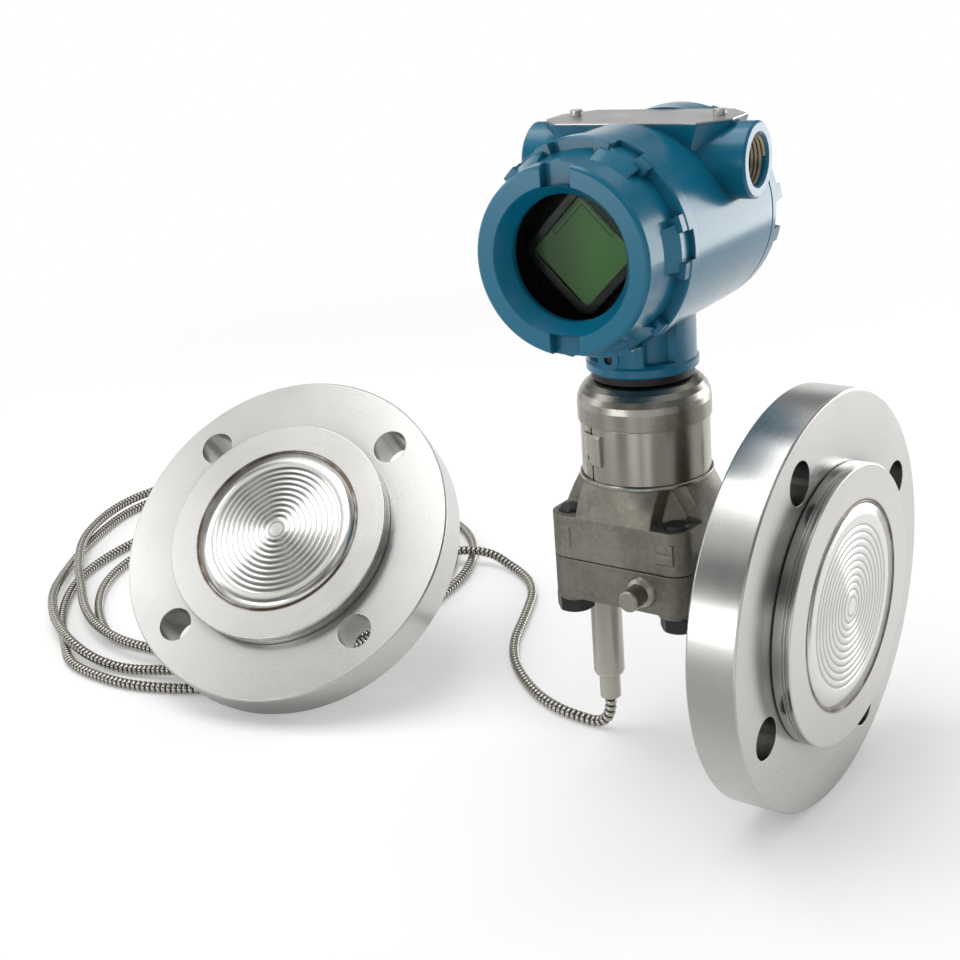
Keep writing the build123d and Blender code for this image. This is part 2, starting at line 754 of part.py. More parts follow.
# Cover: castellated screw cap. The front one carries the window.
def cover_shell(height, windowed):
    top = height - window_setback - window_ledge if windowed else height - window_ledge - 3
    outline = [
        (skirt_bore, -skirt_length),
        (cover_bore - running_clearance, -skirt_length),
        (cover_bore - running_clearance, 0),
        (cover_flange_radius - 0.7, 0),
        (cover_flange_radius, 0.7),
        (cover_flange_radius, cover_flange_height - 0.7),
        (cover_flange_radius - 0.7, cover_flange_height),
        (cover_wall_foot, cover_flange_height),
        (cover_face_radius + 0.9, height - cover_edge),
        (cover_face_radius + 0.3, height - 0.6),
        (cover_face_radius - 0.6, height),
    ]
    if windowed:
        outline += [
            (cover_ring_inner, height),
            (window_radius, height - window_setback),
            (window_radius, top),
        ]
    else:
        outline += [(0, height), (0, top)]
    outline += [(skirt_bore, top)]
    shell = turned(outline)
    wall_lean = (cover_wall_foot - cover_face_radius - 0.9) / (height - cover_edge - cover_flange_height)
    pad_height = min(lug_pad_height, height - cover_edge - cover_flange_height - 2)
    pad_profile = [
        (cover_face_radius - 1, cover_flange_height - 1),
        (lug_pad_reach, cover_flange_height - 1),
        (lug_pad_reach, cover_flange_height + 0.6),
        (cover_wall_foot - wall_lean * pad_height - 0.1, cover_flange_height + pad_height),
        (cover_face_radius - 1, cover_flange_height + pad_height),
    ]
    for index in range(lug_groups):
        middle = lug_phase + index * 360 / lug_groups
        wedge = Rot(0, 0, middle - lug_pad_width / 2) * revolve(
            Plane.XZ * make_face(Polyline(*pad_profile, close=True)), Axis.Z, lug_pad_width)
        shell += wedge
        for offset in (-lug_bump_angle, lug_bump_angle):
            shell += sector(
                cover_face_radius,
                lug_bump_reach,
                middle + offset,
                lug_bump_width,
                cover_flange_height - 1,
                cover_flange_height + lug_bump_height)
        shell -= sector(
            lug_notch_radius,
            cover_flange_radius + 1,
            middle,
            lug_notch_width,
            cover_flange_height - lug_notch_depth,
            cover_flange_height + lug_pad_height + 1)
    slot = Pos(0, 0, height - slot_depth / 2 + 0.5) * Box(slot_width, 4 * cover_face_radius, slot_depth + 1)
    hub_keep = rod(cover_ring_inner - 0.4, height - slot_depth - 1, height + 2) if windowed else rod(
        cover_ring_inner, height - slot_depth - 1, height + 2)
    shell -= slot - hub_keep
    # The ring groove holds the seal ring at the root of the skirt
    groove = ring(
        cover_bore + 1,
        cover_bore - running_clearance - 2 * cover_ring_section,
        -3.2,
        -3.2 + 2 * cover_ring_section + 0.2)
    return shell - groove


ring_height = -3.2 + cover_ring_section + 0.1
ring_middle = cover_bore - running_clearance - cover_ring_section
front_frame = Plane(head.location * front.location)
rear_frame = Plane(head.location * rear.location)
save(cover_shell(front_cover_height, True), front_frame, "front_cover")
save(cover_shell(rear_cover_height, False), rear_frame, "rear_cover")
for name, frame in (("front_cover_ring", front_frame), ("rear_cover_ring", rear_frame)):
    seal_ring = Pos(0, 0, ring_height) * torus(ring_middle + 0.02, cover_ring_section - 0.03)
    save(seal_ring, frame, name)

# Window glass, its gasket and the retaining ring
glass_top = front_cover_height - window_setback - window_ledge - 0.8
glass_low = glass_top - glass_thickness
save(rod(glass_radius, glass_low, glass_top), front_frame, "cover_window")
save(ring(glass_radius, window_radius + 1, glass_top, glass_top + 0.8), front_frame, "window_gasket")
save(ring(skirt_bore - running_clearance, window_radius + 1.5, glass_low - 3.5, glass_low), front_frame, "window_retainer")

# Display: round base, square bezel turned on its corner, and the screen
display_frame = Plane(head.location * Plane(
    origin=(0, display_base_y, housing_axis_z), x_dir=(1, 0, 0), z_dir=(0, -1, 0)).location)
bezel_low = display_base_height
bezel_high = bezel_low + bezel_height
display = rod(display_base_radius, 0, display_base_height)
display += Rot(0, 0, 45) * rounded_slab(bezel_side, bezel_side, bezel_corner, 0, bezel_high)
display -= Rot(0, 0, 45) * rounded_slab(screen_side, screen_side, 3, bezel_high - 2.2, bezel_high + 1)
display = display - rod(display_base_radius - 8, -1, display_base_height - 1)
save(display, display_frame, "display_bezel")
screen = Rot(0, 0, 45) * rounded_slab(
    screen_side - 0.1, screen_side - 0.1, 2.95, bezel_high - 2.2, bezel_high - 2.2 + screen_thickness)
save(screen, display_frame, "display_screen")

# Electronics board behind the display, on four posts from the partition
board_frame = Plane(head.location * Plane(
    origin=(0, board_y, housing_axis_z), x_dir=(1, 0, 0), z_dir=(0, -1, 0)).location)
board = rod(board_radius, 0, board_thickness) - slab(board_window, board_window, -1, board_thickness + 1)
for angle in chip_angles:
    board += Pos(*polar(chip_circle_radius, angle), 0) * slab(
        chip_width, chip_depth, board_thickness, board_thickness + chip_height)
save(board, board_frame, "electronics_board")
post_length = partition_y - board_y
post_places = [polar(post_circle_radius, 45 + 90 * index) for index in range(4)]
posts = [Pos(x, y, 0) * rod(post_radius, -post_length, 0) for x, y in post_places]
save(Compound(children=posts), board_frame, "board_posts")
spacer_length = -display_base_y + board_y - board_thickness
spacers = [Pos(x, y, 0) * rod(spacer_radius, board_thickness, board_thickness + spacer_length)
           for x, y in post_places]
save(Compound(children=spacers), board_frame, "display_spacers")

# Terminal block and its screws in the rear compartment
terminal_frame = Plane(head.location * Plane(
    origin=(0, partition_y + partition_thickness, housing_axis_z), x_dir=(-1, 0, 0), z_dir=(0, 1, 0)).location)
terminal = rounded_slab(terminal_width, terminal_height, 3, 0, terminal_depth)
places = [(index - (terminal_count - 1) / 2) * terminal_pitch for index in range(terminal_count)]
for x in places:
    terminal -= Pos(x, 3, 0) * slab(terminal_pitch - 3, terminal_height - 8, terminal_depth - 3, terminal_depth + 1)
save(terminal, terminal_frame, "terminal_block")
terminal_screw = rod(terminal_screw_radius, terminal_depth - 3, terminal_depth - 3 + terminal_screw_height)
terminal_screw -= Pos(0, 0, terminal_depth - 3 + terminal_screw_height) * Box(10, 0.9, 1.6)
save(Compound(children=[Pos(x, 2, 0) * terminal_screw for x in places]), terminal_frame, "terminal_screws")

# Capillary: the armoured hose from the low side to the coil, the coil, and the tail up to the remote seal
lay_z = floor_z + armour_radius
low_side_exit = low_side.location * Pos(0, 0, low_end - collar_length)
low_exit = low_side_exit.position
remote_exit = (remote.location * Pos(0, 0, support_end - collar_length)).position
exit_run = (low_exit.Z - lay_z) / (1 + sin(radians(45)))
exit_reach = exit_run * cos(radians(45))
lead_points = [
    (low_exit.X, low_exit.Y, low_exit.Z),
    (low_exit.X, low_exit.Y, low_exit.Z - exit_run),
    (low_exit.X - exit_reach, low_exit.Y, lay_z),
]
lead_points += [(x, y, lay_z) for x, y in lead_route]
tail_run = (remote_exit.Z - lay_z) / remote_normal[2]
tail_corner = remote_exit - Vector(*remote_normal) * tail_run
tail_points = [(remote_exit.X, remote_exit.Y, remote_exit.Z), (tail_corner.X, tail_corner.Y, lay_z)]
heading = 90 + remote_azimuth
for step in range(tail_steps):
    last = tail_points[-1]
    tail_points.append((
        last[0] + tail_step * cos(radians(heading)),
        last[1] + tail_step * sin(radians(heading)),
        lay_z))
    heading += tail_turn


def bend_radii(points):
    """Bend radius at each corner of a route, from the shorter of its two runs."""
    corners = [Vector(*point) for point in points]
    radii = []
    for index in range(1, len(corners) - 1):
        before = corners[index] - corners[index - 1]
        after = corners[index + 1] - corners[index]
        half_turn = radians(before.get_angle(after)) / 2
        radii.append(0.45 * min(before.length, after.length) / tan(half_turn))
    return radii


def hose(points, radius, name):
    radii = bend_radii(points)
    print(name, "bend radii", [round(value, 1) for value in radii])
    route = FilletPolyline(*points, radius=radii)
    start = Plane(origin=points[0], z_dir=route % 0)
    tube = sweep(start * Circle(radius), path=route)
    expected = pi * radius ** 2 * route.length
    print(name, "length", round(route.length, 1), "volume ratio", round(tube.volume / expected, 4))
    return tube


coil = Pos(coil_centre[0], coil_centre[1], floor_z) * Rot(0, 0, coil_turn) * extrude(
    Ellipse(*coil_radii), coil_height)
coil -= Pos(coil_hole_centre[0], coil_hole_centre[1], floor_z - 1) * extrude(
    Ellipse(*coil_hole_radii), coil_height + 2)
coil = fillet(coil.edges().group_by(Axis.Z)[-1], coil_round)
coil = fillet(coil.edges().group_by(Axis.Z)[0], coil_round / 2)
flange_back = -face_height - running_clearance - flange_thickness
coil -= remote.location * rod(flange_radius + 3, flange_back - coil_flange_gap, 0)
lead = hose(lead_points, armour_radius, "capillary_lead")
tail = hose(tail_points, armour_radius, "capillary_tail")
save(coil, Plane.XY, "capillary_coil")
save(lead, Plane.XY, "capillary_lead")
save(tail, Plane.XY, "capillary_tail")
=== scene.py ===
import bpy
import bmesh
import math
from bpy.props import FloatProperty, FloatVectorProperty, IntProperty, PointerProperty
from mathutils import Matrix, Vector


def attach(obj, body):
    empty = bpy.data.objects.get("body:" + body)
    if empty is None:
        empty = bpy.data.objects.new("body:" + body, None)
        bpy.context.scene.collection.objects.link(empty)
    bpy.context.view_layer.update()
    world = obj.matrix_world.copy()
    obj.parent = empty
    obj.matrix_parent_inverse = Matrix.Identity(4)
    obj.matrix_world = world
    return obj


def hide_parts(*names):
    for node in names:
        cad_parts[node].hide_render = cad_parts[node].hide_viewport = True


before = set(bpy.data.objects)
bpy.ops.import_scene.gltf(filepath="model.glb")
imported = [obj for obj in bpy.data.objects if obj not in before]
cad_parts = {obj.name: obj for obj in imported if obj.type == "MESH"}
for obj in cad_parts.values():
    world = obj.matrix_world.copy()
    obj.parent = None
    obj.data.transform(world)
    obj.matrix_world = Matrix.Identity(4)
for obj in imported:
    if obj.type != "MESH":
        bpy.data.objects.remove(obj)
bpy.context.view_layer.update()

bl_info = {
    "name": "Level transmitter",
    "version": (1, 0, 0),
    "blender": (4, 5, 0),
    "location": "View3D > Sidebar > Transmitter",
    "description": "Finishes a level transmitter with two flanged diaphragm seals",
    "category": "Object",
}

MM = 0.001
FLOOR_Z = -0.09525
FLOOR_GAP = 0.0002
HEAD_YAW = math.radians(4.8)
HEAD_AXIS = Vector((-0.1011, 0.0, 0.0))
HEAD_CENTRE_Z = 0.1625
LOW_SIDE_X = -0.0264
CONDUIT_PLACE = Vector((0.0, 0.010, 0.190))
CONDUIT_BORES = (0.0106, 0.0103)
THREAD_START = 0.0507
THREAD_HEIGHT = 0.0008
WELD_RADIUS = 0.0466
WELD_WIDTH = 0.0008
REMOTE_CENTRE = Vector((-0.3196, -0.0267, -0.0071))
REMOTE_AZIMUTH = math.radians(13.7)
REMOTE_ELEVATION = math.radians(45.8)
REMOTE_NORMAL = Vector((
    math.sin(REMOTE_AZIMUTH) * math.cos(REMOTE_ELEVATION),
    -math.cos(REMOTE_AZIMUTH) * math.cos(REMOTE_ELEVATION),
    math.sin(REMOTE_ELEVATION)))


def frame_matrix(origin, x_axis, z_axis):
    """Matrix of a piece's own axes, from its origin, X direction and Z direction."""
    z = Vector(z_axis).normalized()
    x = Vector(x_axis)
    x = (x - z * x.dot(z)).normalized()
    y = z.cross(x)
    matrix = Matrix((x, y, z)).transposed().to_4x4()
    matrix.translation = Vector(origin)
    return matrix


HEAD = Matrix.Translation(HEAD_AXIS) @ Matrix.Rotation(HEAD_YAW, 4, "Z")
DIRECT = frame_matrix((0, 0, 0), (0, -1, 0), (1, 0, 0))
REMOTE = frame_matrix(REMOTE_CENTRE, (-math.cos(REMOTE_AZIMUTH), -math.sin(REMOTE_AZIMUTH), 0), REMOTE_NORMAL)
BARREL = HEAD @ frame_matrix((0, 0, HEAD_CENTRE_Z), (1, 0, 0), (0, -1, 0))
MODULE = Matrix.Translation(HEAD_AXIS)


# The photograph's view, fitted to the rims and holes of both flanges
VIEW_AZIMUTH = math.radians(37.73)
VIEW_ELEVATION = math.radians(21.61)
VIEW_ROLL = math.radians(4.98)
VIEW_DISTANCE = 0.80942
VIEW_TARGET = Vector((-0.20833, 0.0, 0.00044))
PICTURE_SIDE = 960.0
PICTURE_CENTRE = (468.93, 531.35)
PICTURE_FOCAL = 1574.23
FILM_WIDTH = 36.0

# Lamps: name, place, width, height, watts
LAMP_AIM = Vector((-0.2, 0.0, 0.04))
LAMPS = (
    ("overhead softbox", (-0.45, -0.15, 1.5), 1.3, 1.0, 11.0),
    ("left softbox", (-1.38, -0.69, 0.78), 0.7, 0.9, 3.5),
    ("front softbox", (-0.55, -1.7, 0.12), 0.9, 0.35, 5.0),
    ("back softbox", (0.55, 1.35, 0.16), 1.1, 0.8, 9.0),
)


# Sizes and colours

class TransmitterSizes(bpy.types.PropertyGroup):
    """Sizes of what this add-on makes itself"""
    armour_diameter: FloatProperty(
        name="Armour diameter", description="Outer diameter of the armoured capillary",
        default=0.006, unit="LENGTH")
    armour_pitch: FloatProperty(
        name="Armour pitch", description="Distance from one armour ridge to the next",
        default=0.0032, unit="LENGTH")
    armour_groove: FloatProperty(
        name="Armour groove", description="Depth of the groove between armour ridges",
        default=0.0007, unit="LENGTH")
    wave_depth: FloatProperty(
        name="Wave depth", description="Depth of the diaphragm's waves",
        default=0.00045, unit="LENGTH")
    wave_count: IntProperty(
        name="Waves", description="Number of concentric waves in a diaphragm", default=10)
    thread_pitch: FloatProperty(
        name="Thread pitch", description="Pitch of the conduit entry's thread",
        default=0.00181, unit="LENGTH")
    floor_size: FloatProperty(
        name="Floor size", description="Side of the floor", default=12.0, unit="LENGTH")


class TransmitterColours(bpy.types.PropertyGroup):
    """Colours of the main finishes"""
    paint: FloatVectorProperty(
        name="Paint", description="Gloss paint of head and covers", subtype="COLOR",
        size=3, default=(0.001, 0.130, 0.225))
    steel: FloatVectorProperty(
        name="Turned steel", description="Bare stainless steel", subtype="COLOR",
        size=3, default=(0.60, 0.595, 0.575))
    casting: FloatVectorProperty(
        name="Cast steel", description="Blasted cast stainless steel", subtype="COLOR",
        size=3, default=(0.235, 0.227, 0.190))
    armour: FloatVectorProperty(
        name="Armour", description="Interlocked armour strip", subtype="COLOR",
        size=3, default=(0.42, 0.405, 0.365))
    screen: FloatVectorProperty(
        name="Screen", description="Unlit liquid crystal screen", subtype="COLOR",
        size=3, default=(0.082, 0.205, 0.052))
    rubber: FloatVectorProperty(
        name="Rubber", description="Seals and display frame", subtype="COLOR",
        size=3, default=(0.006, 0.0065, 0.007))


# Shader helpers

class Wire:
    """A shader socket that takes part in Python arithmetic."""

    def __init__(self, tree, socket):
        self.tree = tree
        self.socket = socket

    def _math(self, operation, first, second=None):
        node = self.tree.nodes.new("ShaderNodeMath")
        node.operation = operation
        for index, value in enumerate((first, second)):
            if value is None:
                continue
            if isinstance(value, Wire):
                self.tree.links.new(value.socket, node.inputs[index])
            else:
                node.inputs[index].default_value = value
        return Wire(self.tree, node.outputs[0])

    def __add__(self, other):
        return self._math("ADD", self, other)

    __radd__ = __add__

    def __mul__(self, other):
        return self._math("MULTIPLY", self, other)

    __rmul__ = __mul__

    def __sub__(self, other):
        return self._math("SUBTRACT", self, other)

    def __rsub__(self, other):
        return self._math("SUBTRACT", other, self)

    def __truediv__(self, other):
        return self._math("DIVIDE", self, other)

    def __pow__(self, other):
        return self._math("POWER", self, other)

    def above(self, other):
        return self._math("GREATER_THAN", self, other)

    def below(self, other):
        return self._math("LESS_THAN", self, other)

    def cosine(self):
        return self._math("COSINE", self)

    def absolute(self):
        return self._math("ABSOLUTE", self)

    def root(self):
        return self._math("SQRT", self)

    def clamped(self):
        node = self.tree.nodes.new("ShaderNodeClamp")
        self.tree.links.new(self.socket, node.inputs[0])
        return Wire(self.tree, node.outputs[0])


class Nodes:
    """An emptied node tree, with a method for each kind of node used here."""

    def __init__(self, tree):
        self.tree = tree
        self.tree.nodes.clear()

    def add(self, kind, settings=None, outlet=0, **sockets):
        """Add a node; sockets go by name with underscores for spaces, or as n0, n1 by number."""
        node = self.tree.nodes.new(kind)
        for key, value in (settings or {}).items():
            setattr(node, key, value)
        for key, value in sockets.items():
            numbered = key[0] == "n" and key[1:].isdigit()
            self.put(node.inputs[int(key[1:]) if numbered else key.replace("_", " ")], value)
        return Wire(self.tree, node.outputs[outlet])

    def put(self, target, value):
        if isinstance(value, Wire):
            self.tree.links.new(value.socket, target)
        else:
            target.default_value = value

    def place(self, matrix=None):
        """Object coordinates, brought to a piece's own axes."""
        here = self.add("ShaderNodeTexCoord", outlet=3)
        if matrix is None:
            return here
        inverse = matrix.inverted()
        return self.add(
            "ShaderNodeMapping", {"vector_type": "POINT"}, Vector=here,
            Location=inverse.translation, Rotation=inverse.to_euler("XYZ"))

    def parts(self, vector):
        node = self.tree.nodes.new("ShaderNodeSeparateXYZ")
        self.tree.links.new(vector.socket, node.inputs[0])
        return [Wire(self.tree, node.outputs[index]) for index in range(3)]

    def join(self, x, y, z):
        return self.add("ShaderNodeCombineXYZ", n0=x, n1=y, n2=z)

    def noise(self, vector, scale, detail=3.0, rough=0.5):
        return self.add(
            "ShaderNodeTexNoise", Vector=vector, Scale=scale, Detail=detail, Roughness=rough)

    def ramp(self, factor, low, high, low_value=0.0, high_value=1.0):
        return self.add(
            "ShaderNodeMapRange", {"interpolation_type": "SMOOTHSTEP"}, Value=factor,
            From_Min=low, From_Max=high, To_Min=low_value, To_Max=high_value)

    def blend(self, factor, first, second):
        """From the first colour to the second."""
        node = self.tree.nodes.new("ShaderNodeMix")
        node.data_type = "RGBA"
        self.put(node.inputs[0], factor)
        self.put(node.inputs[6], first if isinstance(first, Wire) else (*first, 1.0))
        self.put(node.inputs[7], second if isinstance(second, Wire) else (*second, 1.0))
        return Wire(self.tree, node.outputs[2])

    def bump(self, height, strength, distance, under=None):
        """Fine relief, on top of the normals given as under."""
        node = self.add("ShaderNodeBump", Height=height, Strength=strength, Distance=distance)
        if under:
            self.put(node.socket.node.inputs["Normal"], under)
        return node

    def bevel(self, radius):
        """Normals that run round each edge, as a cast or broken edge does."""
        return self.add("ShaderNodeBevel", {"samples": 6}, Radius=radius)

    def hollow(self, reach):
        """1 in the open, down to 0 deep in a hole or a crease."""
        return self.add("ShaderNodeAmbientOcclusion", {"samples": 4}, outlet=1, Distance=reach)

    def ray(self, *kinds):
        """1 for rays of these kinds, otherwise 0."""
        node = self.tree.nodes.new("ShaderNodeLightPath")
        found = [Wire(self.tree, node.outputs["Is " + kind + " Ray"]) for kind in kinds]
        total = found[0]
        for wire in found[1:]:
            total = total + wire
        return total.clamped()


class Finish(Nodes):
    """One material with its Principled shader."""

    def __init__(self, name):
        self.material = bpy.data.materials.new(name)
        self.material.use_nodes = True
        super().__init__(self.material.node_tree)
        self.output = self.tree.nodes.new("ShaderNodeOutputMaterial")
        self.shader = self.tree.nodes.new("ShaderNodeBsdfPrincipled")
        self.tree.links.new(self.shader.outputs[0], self.output.inputs["Surface"])

    def set(self, **sockets):
        """Set or link sockets of the shader."""
        for key, value in sockets.items():
            self.put(self.shader.inputs[key.replace("_", " ")], value)
        return self


def shade(colour, amount):
    """The colour, lighter or darker."""
    return tuple(min(1.0, channel * amount) for channel in colour)


def lathe_steel(name, matrix, tone, roughness=0.24, lay=0.1, welded=False, waves=None):
    """Bare turned steel: fine rings about the piece's own axis, with a soft variation in tone and painted
    shade in holes and creases.

    A welded face has a brown tint along its weld; waves are the radius and the step of press-formed rings,
    whose valleys get painted shade.
    """
    finish = Finish(name)
    x, y, z = finish.parts(finish.place(matrix))
    radius = (x * x + y * y).root()
    axis = matrix.to_3x3().col[2]
    facing = finish.add("ShaderNodeTexCoord", outlet=1)
    turned = finish.add(
        "ShaderNodeVectorMath", {"operation": "DOT_PRODUCT"}, outlet=1, n0=facing, n1=tuple(axis))
    flat = turned.absolute().above(0.5)
    along = radius * flat + z * (1.0 - flat)
    rings = finish.noise(finish.join(along, flat * 0.1, 0.0), 900.0, 2.0, 0.5)
    bands = finish.noise(finish.join(along, flat * 0.1, 0.0), 300.0, 3.0, 0.6)
    smears = finish.noise(finish.place(), 22.0, 3.0, 0.55)
    tones = finish.blend(rings * 0.2 + bands * 0.4 + smears * 0.4, shade(tone, 0.93), shade(tone, 1.07))
    if welded:
        near = 2.2 - ((radius - WELD_RADIUS) / WELD_WIDTH).absolute()
        patches = finish.ramp(finish.noise(finish.place(), 70.0, 2.0, 0.5), 0.3, 0.6, 0.65, 1.0)
        tones = finish.blend(near.clamped() * patches * 0.95, tones, (0.075, 0.045, 0.025))
    # Painted shade: the colour darkens towards a fifth of its tone in holes and creases, where little open
    # space lies around the surface.
    tones = finish.blend(finish.ramp(finish.hollow(25 * MM), 0.25, 0.9, 0.6, 0.0), tones, shade(tone, 0.2))
    if waves:
        outer, step = waves
        # Painted shade: the colour darkens along the valleys of the diaphragm's waves.
        valley = ((radius - outer) * (2 * math.pi / step)).cosine()
        valley_shade = finish.ramp(valley, 0.1, 0.95) * radius.below(outer + step * 0.4) * radius.above(step)
        tones = finish.blend(valley_shade * 0.6, tones, shade(tone, 0.30))
    finish.set(
        Base_Color=tones, Metallic=1.0,
        Roughness=finish.ramp(smears * 0.7 + bands * 0.3, 0.3, 0.7, roughness * 0.88, roughness * 1.12),
        Normal=finish.bump(rings * (1.0 - flat * 0.8), lay, 0.00002, finish.bevel(0.5 * MM)))
    return finish.material


def plain_steel(name, tone, roughness=0.28, scale=900.0, strength=0.15, stretch=(1.0, 1.0, 1.0)):
    """Bare steel with a faint grain along one direction."""
    finish = Finish(name)
    here = finish.add("ShaderNodeMapping", Vector=finish.place(), Scale=stretch)
    grain = finish.noise(here, scale, 3.0, 0.6)
    cloud = finish.noise(finish.place(), 45.0, 3.0, 0.6)
    finish.set(
        Base_Color=finish.blend(cloud * 0.5 + grain * 0.5, shade(tone, 0.8), shade(tone, 1.15)),
        Metallic=1.0,
        Roughness=finish.ramp(grain * 0.6 + cloud * 0.4, 0.3, 0.7, roughness * 0.78, roughness * 1.3),
        Normal=finish.bump(grain, strength, 0.00003, finish.bevel(0.0004)))
    return finish.material


def cast_steel(name, tone):
    """Blasted investment casting: a fine sandy skin, darker in patches."""
    finish = Finish(name)
    here = finish.place()
    sand = finish.noise(here, 1500.0, 4.0, 0.7)
    skin = finish.noise(here, 330.0, 4.0, 0.6)
    patch = finish.noise(here, 38.0, 3.0, 0.55)
    glints = finish.ramp(sand, 0.58, 0.7)
    cloud = finish.ramp(patch * 0.6 + skin * 0.4, 0.35, 0.65)
    base = finish.blend(cloud, shade(tone, 0.75), shade(tone, 1.15))
    finish.set(
        Base_Color=finish.blend(glints * 0.55, base, shade(tone, 2.0)), Metallic=0.9,
        Roughness=finish.ramp(sand * 0.5 + patch * 0.5, 0.3, 0.7, 0.4, 0.55),
        Normal=finish.bump(sand * 0.4 + skin * 0.6, 0.6, 0.0002, finish.bevel(0.0012)))
    return finish.material


def gloss_paint(name, tone):
    """Gloss paint over a casting, with slight orange peel and painted shade in creases."""
    finish = Finish(name)
    here = finish.place()
    peel = finish.noise(here, 330.0, 1.0, 0.4)
    waves = finish.noise(here, 80.0, 2.0, 0.5)
    cloud = finish.noise(here, 22.0, 2.0, 0.5)
    painted = finish.blend(cloud, shade(tone, 0.93), shade(tone, 1.1))
    # Painted shade: the paint darkens towards a third of its tone in creases and recesses.
    crease = finish.ramp(finish.hollow(6 * MM), 0.3, 0.9, 0.6, 0.0)
    finish.set(
        Base_Color=finish.blend(crease, painted, shade(tone, 0.3)),
        Roughness=finish.ramp(peel, 0.3, 0.7, 0.34, 0.42), Metallic=0.0, Specular_IOR_Level=0.05,
        Coat_Weight=1.0, Coat_Roughness=0.22, Coat_IOR=1.45,
        Normal=finish.bump(peel * 0.3 + waves * 0.7, 0.10, 0.00012, finish.bevel(0.0016)))
    return finish.material


def moulded(name, tone, roughness=0.5, grain=1400.0, edge=0.0004):
    """Plain moulded plastic or rubber."""
    finish = Finish(name)
    here = finish.place()
    fine = finish.noise(here, grain, 2.0, 0.5)
    cloud = finish.noise(here, 60.0, 2.0, 0.5)
    finish.set(
        Base_Color=finish.blend(cloud, shade(tone, 0.8), shade(tone, 1.25)),
        Roughness=finish.ramp(fine, 0.3, 0.7, roughness * 0.85, roughness * 1.15),
        Specular_IOR_Level=0.35, Normal=finish.bump(fine, 0.08, 0.00004, finish.bevel(edge)))
    return finish.material


def clear_glass(name):
    """Window glass: see-through, with a clean reflecting face."""
    finish = Finish(name)
    smear = finish.noise(finish.place(), 30.0, 3.0, 0.6)
    finish.set(
        Base_Color=(0.0, 0.0, 0.0, 1.0), Specular_IOR_Level=0.5, IOR=1.5, Metallic=0.0,
        Roughness=finish.ramp(smear, 0.35, 0.7, 0.0, 0.02))
    clear = finish.add("ShaderNodeBsdfTransparent", Color=(0.93, 0.965, 0.95, 1.0))
    sheen = finish.add("ShaderNodeFresnel", IOR=1.33)
    face = Wire(finish.tree, finish.shader.outputs[0])
    pick = finish.add("ShaderNodeMixShader", n0=sheen, n1=clear, n2=face)
    finish.tree.links.new(pick.socket, finish.output.inputs["Surface"])
    return finish.material


def screen_face(name, tone):
    """Unlit screen: dark green with painted shade darkening it towards its left, and a thin outlined strip
    along its two upper edges.
    """
    finish = Finish(name)
    x, y = finish.parts(finish.place(BARREL @ Matrix.Rotation(math.radians(45), 4, "Z")))[:2]
    # Painted shade: the green darkens towards its left side.
    green = finish.blend(finish.ramp(x - y, -0.024, 0.012), shade(tone, 0.5), shade(tone, 1.15))
    inner, outer, strip_end, half_line = 13.8 * MM, 15.7 * MM, -4.5 * MM, 0.22 * MM
    across, up = x.absolute(), y.absolute()
    size = (across + up + (across - up).absolute()) * 0.5
    sides = (size - inner).absolute().below(half_line) + (size - outer).absolute().below(half_line)
    top = y.above(0.0) * x.above(strip_end) + x.above(0.0) * y.above(strip_end)
    ends = (x - strip_end).absolute().below(half_line) * y.above(0.0)
    ends = ends + (y - strip_end).absolute().below(half_line) * x.above(0.0)
    within = size.above(inner) * size.below(outer)
    finish.set(
        Base_Color=finish.blend((sides * top + ends * within).clamped(), green, (0.004, 0.006, 0.003)),
        Roughness=0.3, Specular_IOR_Level=0.3, Coat_Weight=0.15, Coat_Roughness=0.05)
    return finish.material


def armour_steel(name, tone):
    """Interlocked steel strip: bright crests and painted shade in the grooves, read from the hose's own map.
    """
    finish = Finish(name)
    depth = finish.add("ShaderNodeAttribute", {"attribute_name": "crest"}, outlet=2)
    grain = finish.noise(finish.place(), 900.0, 3.0, 0.6)
    cloud = finish.noise(finish.place(), 24.0, 3.0, 0.5)
    bright = finish.blend(cloud, shade(tone, 0.8), shade(tone, 1.25))
    finish.set(
        # Painted shade: the grooves between the armour ridges are coloured near black.
        Base_Color=finish.blend(finish.ramp(depth, 0.15, 0.75), (0.016, 0.015, 0.012), bright),
        Metallic=1.0,
        Roughness=finish.ramp(grain, 0.3, 0.7, 0.2, 0.32),
        Normal=finish.bump(grain, 0.2, 0.00003))
    return finish.material


def circuit(name):
    """Green lacquered board."""
    finish = Finish(name)
    here = finish.place()
    cells = finish.noise(here, 240.0, 2.0, 0.5)
    traces = finish.ramp(cells, 0.45, 0.55)
    finish.set(
        Base_Color=finish.blend(traces, (0.008, 0.07, 0.03), (0.02, 0.12, 0.05)),
        Roughness=finish.ramp(cells, 0.3, 0.7, 0.35, 0.5), Normal=finish.bump(cells, 0.2, 0.0001))
    return finish.material


def dress(material, *nodes):
    """Give CAD pieces a material of their own."""
    for name in nodes:
        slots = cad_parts[name].data.materials
        slots.clear()
        slots.append(material)


# Mesh helpers

def object_from(mesh, name, material, body, *replaced):
    """A finished piece that rides on a body, in the place of the CAD nodes named last."""
    piece = bpy.data.objects.new(name, mesh)
    bpy.context.scene.collection.objects.link(piece)
    mesh.materials.clear()
    mesh.materials.append(material)
    for polygon in mesh.polygons:
        polygon.material_index = 0
    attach(piece, body)
    if replaced:
        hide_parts(*replaced)
    return piece


